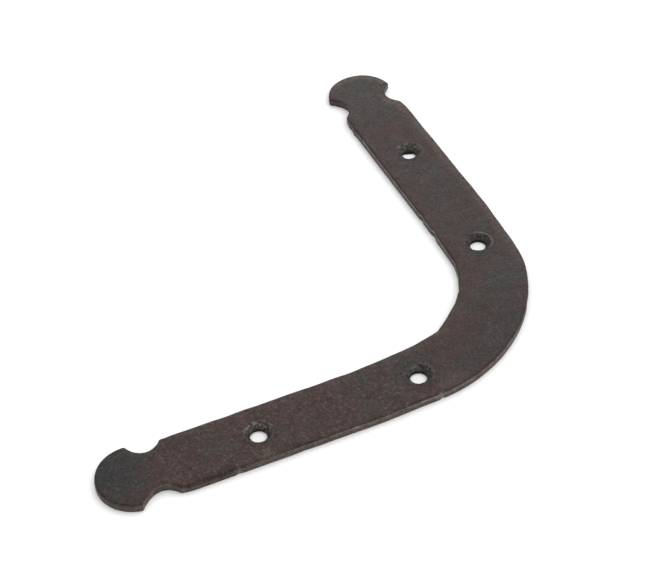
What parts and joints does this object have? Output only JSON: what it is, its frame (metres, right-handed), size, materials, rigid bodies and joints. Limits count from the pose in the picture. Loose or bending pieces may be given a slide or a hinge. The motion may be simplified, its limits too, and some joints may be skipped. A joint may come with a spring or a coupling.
{
  "type": "mending bracket",
  "caption": "Flat forged corner bracket lying in one plane, its arms joined by a broad bend and ending in round penny heads, with countersunk screw holes.",
  "frame": {"origin": "middle of the bend's centreline, on the back face that lies against the timber", "axes": "+Z out of the front face that the screw heads sit in; -X along the near arm and +Y along the far arm"},
  "size_m": [0.1502, 0.1506, 0.0025],
  "materials": {
    "waxed_steel": "hand-forged mild steel, hammered and fire-blackened, then waxed to a soft brown-black sheen; not brushed"
  },
  "bodies": {
    "root": {"bracket": "waxed_steel"}
  },
  "joints": []
}
